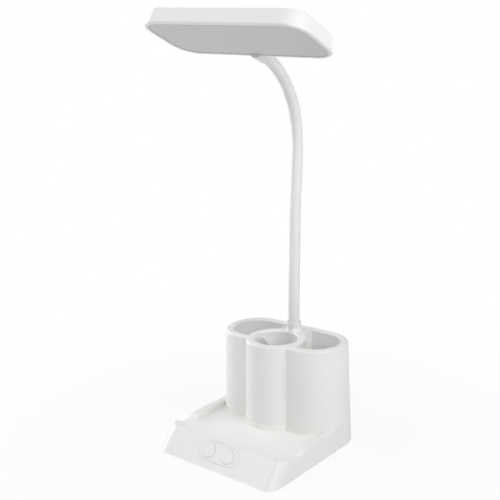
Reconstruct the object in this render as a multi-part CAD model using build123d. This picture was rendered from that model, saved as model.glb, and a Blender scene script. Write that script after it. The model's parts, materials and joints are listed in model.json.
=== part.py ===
from build123d import *
import math
import os

# Desk lamp with an organiser base. Millimetres, +Z up, +Y to the rear.
# The origin is on the table, midway across and along the base's footprint.

# ---- footprint and tray -------------------------------------------------------------
base_width = 125.0
base_depth = 132.0
foot_height = 1.0
rim_height = 19.2
front_slope_run = 15.5
front_corner_radius = 9.7
housing_wall = 2.2
tray_recess = 4.0
side_rim_width = 6.5
front_rim_width = 3.6
tray_corner_radius = 3.0
slot_front = 24.5
slot_length = 15.0
slot_slope_run = 5.5
side_draft = 1.7

# ---- block of cups ------------------------------------------------------------------
block_height = 89.0
lobe_top_radius = 28.5
lobe_cup_radius = 21.6
ring_top_radius = 25.9
ring_cup_radius = 18.8
ring_rear_inset = 44.5
ledge_width = 0.7
neck_column_width = 26.0
cup_wall = 1.8
cup_floor_height = 24.0
cup_floor_thickness = 2.0
rim_outer_radius = 1.8
rim_inner_radius = 1.2

# ---- base plate, weight, feet and screws --------------------------------------------
plate_thickness = 2.0
plate_fit = 0.2
ballast_width = 94.0
ballast_depth = 50.0
ballast_thickness = 5.0
ballast_front_inset = 23.0
foot_radius = 5.0
foot_recess = 1.0
foot_inset_x = 9.0
foot_inset_front = 14.0
foot_inset_rear = 14.0
screw_radius = 1.3
screw_head_radius = 2.5
screw_head_height = 1.2
screw_length = 8.0
screw_boss_radius = 3.2
screw_inset_x = 8.0
screw_front_inset = 36.0
screw_rear_inset = 52.0
screw_clearance = 0.15

# ---- cell and charging --------------------------------------------------------------
cell_radius = 9.0
cell_length = 65.0
cell_rear_inset = 30.0
cell_lift = 0.6
cradle_wall = 1.4
cradle_height = 8.0
cradle_clearance = 0.1
contact_thickness = 0.6
contact_radius = 5.0
socket_width = 8.94
socket_height = 3.26
socket_depth = 7.3
socket_shell = 0.3
socket_setback = 0.4
port_width = 11.0
port_height = 5.4
charge_board_width = 20.0
charge_board_depth = 12.0
charge_board_lift = 3.0
board_thickness = 1.2
board_post_radius = 1.8

# ---- button panel -------------------------------------------------------------------
panel_length = 41.5
panel_height = 16.0
panel_thickness = 1.2
panel_gap = 0.15
panel_proud = 0.15
panel_up_slope = 14.4
button_radius = 5.9
button_spacing = 20.0
button_gap = 0.2
button_proud = 0.6
button_edge_radius = 0.4
button_travel = 0.6
flange_reach = 0.9
flange_gap = 0.1
flange_thickness = 0.7
plunger_radius = 1.4
plunger_reach = 0.6
plunger_clearance = 0.2
switch_size = 6.0
switch_height = 2.1
switch_bore_floor = 0.4
switch_clearance = 0.5
control_board_width = 46.0
control_board_height = 8.4
control_post_radius = 1.9
control_post_inset = 2.4
board_screw_radius = 0.8
board_screw_head_radius = 1.5
board_screw_head_height = 0.8
board_screw_length = 3.5

# ---- sharpener in the centre cup ----------------------------------------------------
sharpener_drop = 4.5
sharpener_width = 15.0
sharpener_reach = 10.6
sharpener_height = 26.0
sharpener_tilt = 36.0
sharpener_corner_radius = 4.5
sharpener_clearance = 0.15
pencil_mouth_radius = 3.9
pencil_tip_radius = 0.9
pencil_axis_inset = 5.4
blade_width = 8.5
blade_length = 15.0
blade_thickness = 0.5
blade_drop = 9.5
blade_screw_radius = 0.9
blade_screw_head_radius = 1.8
blade_screw_head_height = 0.8
blade_screw_length = 2.0

# ---- neck ---------------------------------------------------------------------------
neck_rear_inset = 18.6
neck_radius = 5.0
sleeve_wall = 1.5
core_clearance = 0.3
core_bore_radius = 1.7
lead_radius = 1.2
link_length = 30.6
link_gap = 1.6
neck_turns = (-2.5, 0.0, 0.0, -3.1, 2.2, 18.9, 23.6, 24.8)
collar_height = 8.0
collar_radius = 6.3
collar_foot_radius = 7.2
collar_flare_height = 2.6
collar_mouth_gap = 0.5
collar_mouth_depth = 3.0
collar_edge_radius = 0.3
sleeve_fit = 0.1
ferrule_radius = 3.9
ferrule_fit = 0.05
ferrule_drop = 25.0
ferrule_rise = 2.0
washer_radius = 4.8
washer_thickness = 1.2
lead_tail = 4.0

# ---- head ---------------------------------------------------------------------------
diffuser_width = 141.8
diffuser_depth = 59.4
diffuser_corner = 16.4
head_lip = 3.3
head_height = 13.3
head_top_inset = 3.1
head_wall = 1.8
head_edge_radius = 1.5
head_lip_radius = 1.2
head_offset_x = 0.2
head_offset_y = -12.1
head_offset_z = 0.85
head_yaw = 7.0
head_pitch = -21.0
head_roll = 3.3
diffuser_thickness = 2.0
diffuser_setback = 0.4
diffuser_fit = 0.1
diffuser_ledge = 2.0
guide_thickness = 3.0
guide_inset = 4.5
reflector_thickness = 0.4
guide_plate_thickness = 1.5
guide_plate_inset = 2.8
led_board_thickness = 1.0
led_board_inset = 18.0
led_count = 24
led_width = 2.8
led_height = 1.4
led_thickness = 0.7
boss_radius = 6.2
boss_root_radius = 6.9
boss_reach = 12.0
core_insertion = 9.0
sleeve_insertion = 3.0
core_fit = 0.1
lead_hole_radius = 1.9
clamp_radius = 4.5
clamp_length = 5.0
head_post_radius = 2.4
head_post_inset_x = 30.0
head_post_inset_y = 17.0
head_screw_radius = 0.9
head_screw_head_radius = 1.8
head_screw_head_height = 0.8
head_screw_length = 4.0

# ---- places that follow from the sizes above ----------------------------------------
draft_slope = math.tan(math.radians(side_draft))
lobe_foot_radius = lobe_top_radius + draft_slope * (block_height - foot_height)
lobe_x = base_width / 2 - lobe_foot_radius
lobe_y = base_depth / 2 - lobe_foot_radius
tray_floor = rim_height - tray_recess
tray_underside = tray_floor - housing_wall
plate_top = foot_height + plate_thickness
ring_y = base_depth / 2 - ring_rear_inset
cell_y = base_depth / 2 - cell_rear_inset
neck_y = base_depth / 2 - neck_rear_inset
ballast_y = -base_depth / 2 + ballast_front_inset + ballast_depth / 2
screw_front_y = -base_depth / 2 + screw_front_inset
screw_rear_y = base_depth / 2 - screw_rear_inset
mouth_height = block_height + collar_height
block_ceiling = block_height - housing_wall
slope_rise = rim_height - foot_height
slope_angle = math.degrees(math.atan2(slope_rise, front_slope_run))
core_radius = neck_radius - sleeve_wall - core_clearance
link_count = len(neck_turns)
neck_length = link_count * link_length
cell_z = plate_top + cell_lift + cell_radius
charge_board_z = plate_top + charge_board_lift
port_z = charge_board_z + board_thickness + socket_height / 2
flange_depth = housing_wall + flange_gap
switch_depth = flange_depth + flange_thickness + button_travel + switch_clearance
control_board_depth = switch_depth + switch_height
button_sites = (-button_spacing / 2, button_spacing / 2)
ferrule_bottom = block_height - ferrule_drop
ferrule_top = block_height + ferrule_rise
diffuser_top = diffuser_setback + diffuser_thickness
guide_plate_bottom = diffuser_top + guide_thickness + reflector_thickness
guide_plate_top = guide_plate_bottom + guide_plate_thickness
head_ceiling = head_height - head_wall


# ---- outlines and frames ------------------------------------------------------------
def footprint(inset, level):
    """Plan outline of the base at a level, square at the front and round at the rear."""
    shrink = inset + draft_slope * (level - foot_height)
    half_width = base_width / 2 - shrink
    rear_radius = lobe_foot_radius - shrink
    front = -base_depth / 2 + inset
    middle = Pos(0, (front + lobe_y) / 2) * Rectangle(2 * half_width, lobe_y - front)
    rear_web = Pos(0, lobe_y + rear_radius / 2) * Rectangle(2 * lobe_x, rear_radius)
    lobes = [Pos(x, lobe_y) * Circle(rear_radius) for x in (-lobe_x, lobe_x)]
    return Pos(0, 0, level) * (middle + rear_web + lobes)


def block_outline(inset, level):
    """Plan outline of the cup block at a level: two lobes, the ring and a flat rear."""
    growth = draft_slope * (block_height - level) - inset
    lobe_radius = lobe_top_radius + growth
    rear_web = Pos(0, lobe_y + lobe_radius / 2) * Rectangle(2 * lobe_x, lobe_radius)
    lobes = [Pos(x, lobe_y) * Circle(lobe_radius) for x in (-lobe_x, lobe_x)]
    ring = Pos(0, ring_y) * Circle(ring_top_radius + growth)
    return Pos(0, 0, level) * (rear_web + lobes + ring)


def side_cup_outline(side, grow):
    """Plan outline of the left (-1) or right (+1) cup, grown outwards by a wall."""
    radius = lobe_cup_radius + grow
    inner_x = neck_column_width / 2 - grow
    web_width = lobe_x - inner_x
    web = Pos(-inner_x - web_width / 2, lobe_y + radius / 2) * Rectangle(web_width, radius)
    column = Pos(0, lobe_y) * Rectangle(2 * inner_x, 4 * radius)
    ring = Pos(0, ring_y) * Circle(ring_top_radius - grow)
    outline = Pos(-lobe_x, lobe_y) * Circle(radius) + web - column - ring
    return outline if side < 0 else mirror(outline, about=Plane.YZ)


def ring_cup_outline(grow):
    """Plan outline of the centre cup, grown outwards by a wall."""
    return Pos(0, ring_y) * Circle(ring_cup_radius + grow)


def slope_frame(across, up_slope, depth):
    """Frame under the slanted face: X across, Y up the slope, Z outwards."""
    angle = math.radians(slope_angle)
    y = -base_depth / 2 + up_slope * math.cos(angle) + depth * math.sin(angle)
    z = foot_height + up_slope * math.sin(angle) - depth * math.cos(angle)
    normal = (0, -math.sin(angle), math.cos(angle))
    return Plane(origin=(across, y, z), x_dir=(1, 0, 0), z_dir=normal).location


def upright(outline, bottom, top):
    """Straight prism of a plan outline between two levels."""
    return Pos(0, 0, bottom) * extrude(outline, top - bottom)


def tapered(outline, height):
    """Prism that narrows upwards by the side draft."""
    return extrude(outline, height, dir=(0, 0, 1), taper=side_draft)


def disc(radius, height):
    """Cylinder that stands on its own origin."""
    return Cylinder(radius, height, align=(Align.CENTER, Align.CENTER, Align.MIN))


def slab(width, depth, height):
    """Box that stands on its own origin."""
    return Box(width, depth, height, align=(Align.CENTER, Align.CENTER, Align.MIN))


# ---- base housing -------------------------------------------------------------------
def lower_body(inset, bottom, top):
    """Tray part of the base between two levels, with its slanted, rounded front."""
    body = tapered(footprint(inset, bottom), top - bottom)
    body -= slope_frame(0, 0, inset) * slab(2 * base_width, 3 * base_depth, base_depth)
    corners = [edge for edge in body.edges() if is_front_corner(edge)]
    return fillet(corners, front_corner_radius - inset)


def is_front_corner(edge):
    """Whether an edge is one of the two where the slanted face meets a side."""
    centre = edge.center()
    climbs = edge.bounding_box().size.Z > slope_rise / 3
    return climbs and abs(centre.X) > base_width / 4 and centre.Y < -base_depth / 4


def screw_sites():
    """Plan places of the base plate's screws."""
    x = base_width / 2 - screw_inset_x
    return [(side * x, y) for side in (-1, 1) for y in (screw_front_y, screw_rear_y)]


def foot_sites():
    """Plan places of the rubber feet: two in front, two under the lobes, one amid them."""
    front_x = base_width / 2 - foot_inset_x - foot_radius
    front_y = -base_depth / 2 + foot_inset_front + foot_radius
    rear_y = base_depth / 2 - foot_inset_rear - foot_radius
    corners = [(side * x, y) for side in (-1, 1) for x, y in ((front_x, front_y), (lobe_x, rear_y))]
    return corners + [(0, 0)]


def tray_pocket():
    """The tray's recess, open upwards, ending behind at the ledge round the block."""
    half_width = base_width / 2 - side_rim_width
    front = -base_depth / 2 + front_slope_run + front_rim_width
    plan = Pos(0, (front + lobe_y) / 2) * Rectangle(2 * half_width, lobe_y - front)
    plan = fillet(plan.vertices().group_by(Axis.Y)[0], tray_corner_radius)
    plan -= Pos(0, 0, -rim_height) * block_outline(-ledge_width, rim_height)
    return upright(plan, tray_floor, rim_height + tray_recess)


def phone_slot():
    """The groove across both side rims, square in front and slanted behind."""
    front = -base_depth / 2 + slot_front
    rear = front + slot_length
    top = rim_height + tray_recess
    lean = slot_slope_run * (top - tray_floor) / tray_recess
    side = Polyline((front, tray_floor), (rear, tray_floor), (rear + lean, top), (front, top), close=True)
    return extrude(Plane.YZ * make_face(side), base_width, both=True)


def panel_outline(grow):
    """Long rounded outline of the button panel."""
    height = panel_height + 2 * grow
    return SlotOverall(panel_length + 2 * grow, height)


def block_rim(body):
    """The cup block with its top edges rounded."""
    top = body.faces().filter_by(Axis.Z).sort_by(Axis.Z)[-1]
    inner = [edge for wire in top.inner_wires() for edge in wire.edges()]
    body = fillet(inner, rim_inner_radius)
    top = body.faces().filter_by(Axis.Z).sort_by(Axis.Z)[-1]
    return fillet(top.outer_wire().edges(), rim_outer_radius)


def cup_block():
    """The block's outer walls and the broad rim round its three cups."""
    block = tapered(block_outline(0, rim_height), block_height - rim_height)
    for outline in (side_cup_outline(-1, 0), side_cup_outline(1, 0), ring_cup_outline(0)):
        block -= upright(outline, block_ceiling - housing_wall, block_height + housing_wall)
    block = block_rim(block)
    return block - tapered(block_outline(housing_wall, rim_height), block_ceiling - rim_height)


def housing_posts():
    """Posts that take the screws of the base plate and of the control board."""
    posts = [Pos(x, y, plate_top) * disc(screw_boss_radius, tray_floor - plate_top) for x, y in screw_sites()]
    length = control_board_depth - housing_wall / 2
    for x in control_post_sites():
        posts.append(slope_frame(x, panel_up_slope, control_board_depth) * disc(control_post_radius, length))
    return posts


def control_post_sites():
    """Places across the slanted face of the control board's two posts."""
    x = control_board_width / 2 - control_post_inset
    return (-x, x)


def housing_holes():
    """Panel recess, button holes, screw pilots, port window and neck bore."""
    recess_depth = panel_thickness - panel_proud
    recess = slope_frame(0, panel_up_slope, recess_depth) * extrude(panel_outline(panel_gap), base_depth)
    holes = [recess]
    for x in button_sites:
        bore = disc(button_radius + button_gap, base_depth)
        holes.append(slope_frame(x, panel_up_slope, flange_depth) * bore)
        pocket = disc(button_radius + flange_reach + button_gap, control_board_depth - housing_wall)
        holes.append(slope_frame(x, panel_up_slope, control_board_depth) * pocket)
    for x, y in screw_sites():
        holes.append(Pos(x, y, 0) * disc(screw_radius + screw_clearance, plate_top + screw_length))
    for x in control_post_sites():
        pilot = disc(board_screw_radius + screw_clearance, board_screw_length)
        holes.append(slope_frame(x, panel_up_slope, control_board_depth) * pilot)
    window = Box(port_width, 4 * housing_wall, port_height)
    holes.append(Pos(0, base_depth / 2, port_z) * window)
    neck_bore = disc(ferrule_radius + screw_clearance, 2 * housing_wall)
    holes.append(Pos(0, neck_y, block_ceiling - housing_wall / 2) * neck_bore)
    return holes


def make_housing():
    """The main moulding: slanted front, tray and cup block, open underneath."""
    shell = lower_body(0, foot_height, rim_height)
    shell -= lower_body(housing_wall, foot_height, tray_underside)
    inner_block = block_outline(housing_wall, tray_underside)
    shell -= tapered(inner_block, rim_height - tray_underside)
    shell -= tray_pocket()
    shell -= phone_slot()
    shell += cup_block()
    shell += housing_posts()
    return shell - housing_holes()


def cup_tub(outer, inner):
    """A cup's tub under the rim, from its outer and inner plan outlines."""
    tub = upright(outer, cup_floor_height - cup_floor_thickness, block_ceiling)
    return tub - upright(inner, cup_floor_height, block_height)


def make_side_cup(side):
    """The tub of the left (-1) or right (+1) cup."""
    return cup_tub(side_cup_outline(side, cup_wall), side_cup_outline(side, 0))


def make_centre_cup():
    """The tub of the centre cup."""
    return cup_tub(ring_cup_outline(cup_wall), ring_cup_outline(0))


# ---- underside ----------------------------------------------------------------------
def make_base_plate():
    """The plate that closes the underside, with recesses for feet and screw heads."""
    inset = housing_wall + plate_fit
    plate = lower_body(inset, foot_height, rim_height)
    plate &= upright(Rectangle(2 * base_width, 2 * base_depth), foot_height, plate_top)
    for x, y in foot_sites():
        plate -= Pos(x, y, 0) * disc(foot_radius + plate_fit, foot_height + foot_recess)
    for x, y in screw_sites():
        plate -= Pos(x, y, 0) * disc(screw_radius + screw_clearance, base_depth)
        plate -= Pos(x, y, 0) * disc(screw_head_radius + screw_clearance, foot_height + screw_head_height)
    posts = [Pos(x, y, plate_top) * disc(board_post_radius, charge_board_lift) for x, y in charge_post_sites()]
    return plate + posts


def rear_inner_y():
    """The inner face of the rear wall at the charging port's height."""
    return base_depth / 2 - draft_slope * (port_z - foot_height) - housing_wall


def charge_board_y():
    """The charging board's centre, its rear edge close to the rear wall."""
    return rear_inner_y() - socket_setback - charge_board_depth / 2


def charge_post_sites():
    """Plan places of the two posts under the charging board."""
    x = charge_board_width / 2 - board_post_radius
    y = charge_board_y() - charge_board_depth / 2 + board_post_radius
    return [(-x, y), (x, y)]


def make_rubber_feet():
    """Round pads, seated in the base plate's recesses."""
    height = foot_height + foot_recess
    return [Pos(x, y, 0) * disc(foot_radius, height) for x, y in foot_sites()]


def make_screw(radius, length, head_radius, head_height):
    """A pan head screw whose shank rises from the origin."""
    recess = extrude(RectangleRounded(head_radius, head_radius / 3, head_radius / 8), head_height / 2)
    recess += extrude(RectangleRounded(head_radius / 3, head_radius, head_radius / 8), head_height / 2)
    head = Pos(0, 0, -head_height) * (disc(head_radius, head_height) - recess)
    return head + disc(radius, length)


def make_base_screws():
    """The screws that hold the base plate, heads sunk in it."""
    screw = make_screw(screw_radius, screw_length, screw_head_radius, screw_head_height)
    level = foot_height + screw_head_height
    return [Pos(x, y, level) * screw for x, y in screw_sites()]


def make_ballast():
    """Steel plate that steadies the lamp."""
    plate = Pos(0, ballast_y, plate_top) * slab(ballast_width, ballast_depth, ballast_thickness)
    return fillet(plate.edges().filter_by(Axis.Z), tray_corner_radius)


# ---- cell and charging --------------------------------------------------------------
def make_cell():
    """The round rechargeable cell, lying across under the cups."""
    body = Rot(0, 90, 0) * Cylinder(cell_radius, cell_length)
    body = fillet(body.edges(), contact_thickness)
    return Pos(0, cell_y, cell_z) * body


def make_cell_cradle():
    """The tray that holds the cell and its end contacts."""
    length = cell_length + 2 * (contact_thickness + cradle_clearance + cradle_wall)
    width = 2 * (cell_radius + cradle_clearance + cradle_wall)
    cradle = Pos(0, cell_y, plate_top) * slab(length, width, cradle_height)
    hollow = Rot(0, 90, 0) * Cylinder(cell_radius + cradle_clearance, length - 2 * cradle_wall)
    return cradle - Pos(0, cell_y, cell_z) * hollow


def make_cell_contacts():
    """The two end contacts between the cradle and the cell."""
    x = (cell_length + contact_thickness + cradle_clearance) / 2
    plate = Rot(0, 90, 0) * Cylinder(contact_radius, contact_thickness)
    return [Pos(side * x, cell_y, cell_z) * plate for side in (-1, 1)]


def make_charge_board():
    """The charging circuit's board, on the base plate's posts."""
    board = slab(charge_board_width, charge_board_depth, board_thickness)
    return Pos(0, charge_board_y(), charge_board_z) * board


def make_charge_socket():
    """The charging socket: a flat tube with a tongue, open to the rear."""
    rear = rear_inner_y() - socket_setback
    profile = RectangleRounded(socket_width, socket_height, socket_height / 2 - socket_shell)
    mouth = offset(profile, -socket_shell)
    tongue = Rectangle(socket_width - 6 * socket_shell, 2 * socket_shell)
    tube = extrude(Plane.XZ * profile, -socket_depth)
    tube -= Pos(0, 2 * socket_shell, 0) * extrude(Plane.XZ * mouth, -socket_depth)
    tube += Pos(0, socket_shell, 0) * extrude(Plane.XZ * tongue, -socket_depth * 2 / 3)
    return Pos(0, rear - socket_depth, port_z) * tube


# ---- button panel -------------------------------------------------------------------
def make_button_panel():
    """The inlaid panel round the two buttons."""
    depth = panel_thickness - panel_proud
    panel = extrude(panel_outline(0), panel_thickness)
    panel = fillet(panel.faces().sort_by(Axis.Z)[-1].edges(), panel_proud)
    panel = slope_frame(0, panel_up_slope, depth) * panel
    for x in button_sites:
        panel -= slope_frame(x, panel_up_slope, 2 * housing_wall) * disc(button_radius + button_gap, base_depth)
    return panel


def make_button(x):
    """A push button: domed cap, flange behind the wall and plunger."""
    cap = disc(button_radius, flange_depth + button_proud)
    cap = fillet(cap.faces().sort_by(Axis.Z)[-1].edges(), button_edge_radius)
    flange = Pos(0, 0, -flange_thickness) * disc(button_radius + flange_reach, flange_thickness)
    length = button_travel + switch_clearance + plunger_reach
    plunger = Pos(0, 0, -flange_thickness - length) * disc(plunger_radius, length)
    return slope_frame(x, panel_up_slope, flange_depth) * (cap + flange + plunger)


def make_switches():
    """The two tactile switches on the control board."""
    body = slab(switch_size, switch_size, switch_height)
    body -= Pos(0, 0, switch_bore_floor) * disc(plunger_radius + plunger_clearance, switch_height)
    return [slope_frame(x, panel_up_slope, control_board_depth) * body for x in button_sites]


def make_control_board():
    """The control circuit's board, parallel to the slanted face."""
    board = slab(control_board_width, control_board_height, board_thickness)
    for x in control_post_sites():
        board -= Pos(x, 0, 0) * disc(board_screw_radius + screw_clearance, board_thickness)
    return slope_frame(0, panel_up_slope, control_board_depth + board_thickness) * board


def make_board_screws():
    """The control board's two screws."""
    screw = make_screw(board_screw_radius, board_screw_length, board_screw_head_radius, board_screw_head_height)
    depth = control_board_depth + board_thickness
    return [slope_frame(x, panel_up_slope, depth) * screw for x in control_post_sites()]


# ---- sharpener ----------------------------------------------------------------------
def sharpener_face_x():
    """The sharpener's flat face, which looks across the centre cup."""
    return -ring_cup_radius + sharpener_reach


def make_sharpener_body():
    """The sharpener's block against the cup's left wall, its top slanted to the cup."""
    top = block_height - sharpener_drop
    face_x = sharpener_face_x()
    tilt = math.tan(math.radians(sharpener_tilt))
    wall_x = -ring_cup_radius
    profile = Polyline(
        (wall_x, top - sharpener_height), (face_x, top - sharpener_height),
        (face_x, top - tilt * sharpener_reach), (wall_x, top), close=True)
    block = extrude(Plane.XZ * make_face(profile), sharpener_width / 2, both=True)
    slant = block.faces().sort_by(Axis.Z)[-1]
    shoulders = [edge for edge in slant.edges() if abs(edge.center().Y) > sharpener_width / 4]
    block = Pos(0, ring_y, 0) * fillet(shoulders, sharpener_corner_radius)
    block &= upright(ring_cup_outline(-sharpener_clearance), cup_floor_height, block_height)
    axis_x = wall_x + pencil_axis_inset
    depth = sharpener_height - 2 * pencil_tip_radius
    cone = Cone(pencil_tip_radius, pencil_mouth_radius, depth, align=(Align.CENTER, Align.CENTER, Align.MAX))
    block -= Pos(axis_x, ring_y, top) * cone
    pilot = disc(blade_screw_radius + screw_clearance, blade_screw_length)
    return block - blade_frame() * Pos(0, 0, -blade_screw_length) * pilot


def blade_frame():
    """Frame on the sharpener's flat face: Z out of the face, Y upwards."""
    z = block_height - sharpener_drop - blade_drop - blade_length / 2
    return Plane(origin=(sharpener_face_x(), ring_y, z), x_dir=(0, 1, 0), z_dir=(1, 0, 0)).location


def make_sharpener_blade():
    """The sharpener's blade, flat on the block's face."""
    blade = slab(blade_width, blade_length, blade_thickness)
    blade -= disc(blade_screw_radius + screw_clearance, blade_thickness)
    return blade_frame() * blade


def make_sharpener_screw():
    """The screw that holds the blade."""
    screw = make_screw(blade_screw_radius, blade_screw_length, blade_screw_head_radius, blade_screw_head_height)
    return blade_frame() * Pos(0, 0, blade_thickness) * Rot(180, 0, 0) * screw


# ---- neck ---------------------------------------------------------------------------
def advance(state, turn, length):
    """Go along an arc from a state (y, z, lean), where lean is the forward angle from upright."""
    y, z, lean = state
    chord = length if turn == 0 else 2 * length / turn * math.sin(turn / 2)
    heading = lean + turn / 2
    return (y - chord * math.sin(heading), z + chord * math.cos(heading), lean + turn)


def neck_state(distance):
    """State of the neck's centre line at a distance above the collar's mouth."""
    state = (neck_y, mouth_height, 0.0)
    if distance < 0:
        return advance(state, 0, distance)
    for turn in neck_turns:
        step = min(max(distance, 0), link_length)
        state = advance(state, math.radians(turn) * step / link_length, step)
        distance -= step
    return advance(state, 0, distance)


def neck_point(distance):
    """Point of the neck's centre line."""
    y, z, _ = neck_state(distance)
    return Vector(0, y, z)


def neck_direction(distance):
    """Direction of the neck's centre line, towards the head."""
    lean = neck_state(distance)[2]
    return Vector(0, -math.sin(lean), math.cos(lean))


def neck_path(start, end):
    """The neck's centre line between two distances, as runs and arcs."""
    joints = [index * link_length for index in range(link_count + 1)]
    stops = [start] + [joint for joint in joints if start < joint < end] + [end]
    edges = []
    for first, last in zip(stops, stops[1:]):
        bend = neck_state(last)[2] - neck_state(first)[2]
        if abs(bend) < math.radians(0.01):
            edges.append(Edge.make_line(neck_point(first), neck_point(last)))
        else:
            middle = neck_point((first + last) / 2)
            edges.append(Edge.make_three_point_arc(neck_point(first), middle, neck_point(last)))
    return Wire(edges)


def neck_tube(start, end, radius, bore_radius=0.0):
    """A round tube, or a rod, along the neck between two distances."""
    plane = Plane(origin=neck_point(start), x_dir=(1, 0, 0), z_dir=neck_direction(start))
    path = neck_path(start, end)
    tube = sweep(plane * Circle(radius), path)
    if bore_radius:
        tube -= sweep(plane * Circle(bore_radius), path)
    return tube


def link_ends(index):
    """Distances of a core length's ends; 0 is the root and the last one is the head's."""
    start = (index - 1) * link_length + link_gap / 2
    end = index * link_length - link_gap / 2
    if index == 0:
        start = ferrule_bottom - mouth_height
    if index == link_count:
        end = neck_length + core_insertion
    return start, end


def make_neck_core(index):
    """One stiff length of the neck's metal core."""
    start, end = link_ends(index)
    return neck_tube(start, end, core_radius, core_bore_radius)


def make_neck_sleeve():
    """The neck's smooth sleeve, from the ferrule to the head's boss."""
    start = ferrule_top - mouth_height
    return neck_tube(start, neck_length + sleeve_insertion, neck_radius, core_radius + core_clearance)


def make_neck_lead():
    """The lead inside the core."""
    start = ferrule_bottom - lead_tail - mouth_height
    return neck_tube(start, neck_length + core_insertion + lead_tail, lead_radius)


def make_neck_collar():
    """The flared ring where the neck leaves the block, bored to seat the sleeve."""
    height = collar_height
    standing = (Align.CENTER, Align.CENTER, Align.MIN)
    collar = disc(collar_radius, height)
    collar += Cone(collar_foot_radius, collar_radius, collar_flare_height, align=standing)
    collar = fillet(collar.faces().sort_by(Axis.Z)[-1].edges(), collar_edge_radius)
    collar -= disc(ferrule_radius + ferrule_fit, height)
    collar -= Pos(0, 0, ferrule_rise) * disc(neck_radius + sleeve_fit, height)
    collar -= Pos(0, 0, height - collar_mouth_depth) * disc(neck_radius + collar_mouth_gap, height)
    return Pos(0, neck_y, block_height) * collar


def make_ferrule():
    """The steel tube that roots the core in the block."""
    tube = disc(ferrule_radius, ferrule_top - ferrule_bottom) - disc(core_radius + ferrule_fit, base_depth)
    return Pos(0, neck_y, ferrule_bottom) * tube


def make_neck_washer():
    """The push-on washer that holds the ferrule under the block's top."""
    washer = disc(washer_radius, washer_thickness) - disc(ferrule_radius + ferrule_fit, washer_thickness)
    return Pos(0, neck_y, block_ceiling - washer_thickness) * washer


# ---- head ---------------------------------------------------------------------------
def head_frame():
    """The head's frame: origin at the middle of the diffuser's rear edge, Y to the rear."""
    origin = neck_point(neck_length) + Vector(head_offset_x, head_offset_y, head_offset_z)
    return Pos(*origin) * Rot(0, 0, head_yaw) * Rot(head_pitch, 0, 0) * Rot(0, head_roll, 0)


def head_outline(grow, level):
    """Rounded outline of the head, grown from the diffuser's edge, at a height."""
    width = diffuser_width + 2 * grow
    depth = diffuser_depth + 2 * grow
    outline = RectangleRounded(width, depth, diffuser_corner + grow)
    return Pos(0, -diffuser_depth / 2, level) * outline


def head_prism(grow, bottom, top):
    """Straight prism of the head's outline between two heights."""
    return extrude(head_outline(grow, bottom), top - bottom)


def head_loft(low_grow, high_grow, bottom, top):
    """Body whose outline changes evenly between two heights."""
    return loft([head_outline(low_grow, bottom), head_outline(high_grow, top)], ruled=True)


def boss_frame(distance):
    """Frame on the neck's end, at a distance past it, with Z along the neck."""
    direction = neck_direction(neck_length)
    point = neck_point(neck_length) + direction * distance
    return Plane(origin=point, x_dir=(1, 0, 0), z_dir=direction).location


def boss_bore(start, end, radius):
    """A round hole along the neck's end, between two distances past it."""
    return boss_frame(start) * disc(radius, end - start)


def head_post_sites():
    """Plan places, in the head's frame, of its screw posts."""
    x = diffuser_width / 2 - head_post_inset_x
    front = -diffuser_depth + head_post_inset_y
    return [(side * x, y) for side in (-1, 1) for y in (front, -head_post_inset_y)]


def head_outside():
    """The head's drafted and rounded outside, without its boss."""
    body = head_loft(head_lip, head_lip - head_top_inset, 0, head_height)
    body = fillet(body.faces().sort_by(Axis.Z)[-1].edges(), head_edge_radius)
    return fillet(body.faces().sort_by(Axis.Z)[0].edges(), head_lip_radius)


def head_inside():
    """The head's hollow: the diffuser's seat and the wider space over its ledge."""
    high_grow = head_lip - head_top_inset - head_wall
    hollow = head_loft(-diffuser_ledge, high_grow, diffuser_top, head_ceiling)
    return hollow + head_prism(0, -head_height, diffuser_top)


def head_boss():
    """The boss behind the head, in line with the neck's end."""
    boss = Cone(boss_radius, boss_root_radius, boss_reach, align=(Align.CENTER, Align.CENTER, Align.MIN))
    return boss_frame(0) * boss


def make_head_housing():
    """The head's shell with the boss that takes the neck."""
    shell = head_frame() * head_outside() + head_boss()
    shell -= head_frame() * head_inside()
    post = disc(head_post_radius, head_ceiling - guide_plate_top + head_wall / 2)
    shell += [head_frame() * Pos(x, y, guide_plate_top) * post for x, y in head_post_sites()]
    pilot = disc(head_screw_radius + screw_clearance, head_screw_length + screw_clearance)
    pilot_level = guide_plate_bottom + head_screw_head_height
    shell -= [head_frame() * Pos(x, y, pilot_level) * pilot for x, y in head_post_sites()]
    shell -= boss_bore(-boss_radius, sleeve_insertion, neck_radius + sleeve_fit)
    shell -= boss_bore(0, sleeve_insertion + clamp_length, clamp_radius + core_fit)
    shell -= boss_bore(0, core_insertion, core_radius + core_fit)
    return shell - boss_bore(0, boss_reach + core_insertion, lead_hole_radius)


def make_head_clamp():
    """The crimped bush that holds the core in the boss."""
    bush = disc(clamp_radius, clamp_length) - disc(core_radius + ferrule_fit, clamp_length)
    return boss_frame(sleeve_insertion) * bush


def make_diffuser():
    """The translucent panel in the head's underside."""
    return head_frame() * head_prism(-diffuser_fit, diffuser_setback, diffuser_top)


def make_light_guide():
    """The clear plate behind the diffuser, lit along its rear edge."""
    return head_frame() * head_prism(-guide_inset, diffuser_top, diffuser_top + guide_thickness)


def make_reflector():
    """The white film behind the light guide."""
    return head_frame() * head_prism(-guide_inset, diffuser_top + guide_thickness, guide_plate_bottom)


def make_guide_plate():
    """The plate that presses the light guide's stack down, screwed to the posts."""
    plate = head_prism(-guide_plate_inset, guide_plate_bottom, guide_plate_top)
    sink = disc(head_screw_head_radius + screw_clearance, head_screw_head_height)
    for x, y in head_post_sites():
        plate -= Pos(x, y, 0) * disc(head_screw_radius + screw_clearance, head_height)
        plate -= Pos(x, y, guide_plate_bottom) * sink
    return head_frame() * plate


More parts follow.
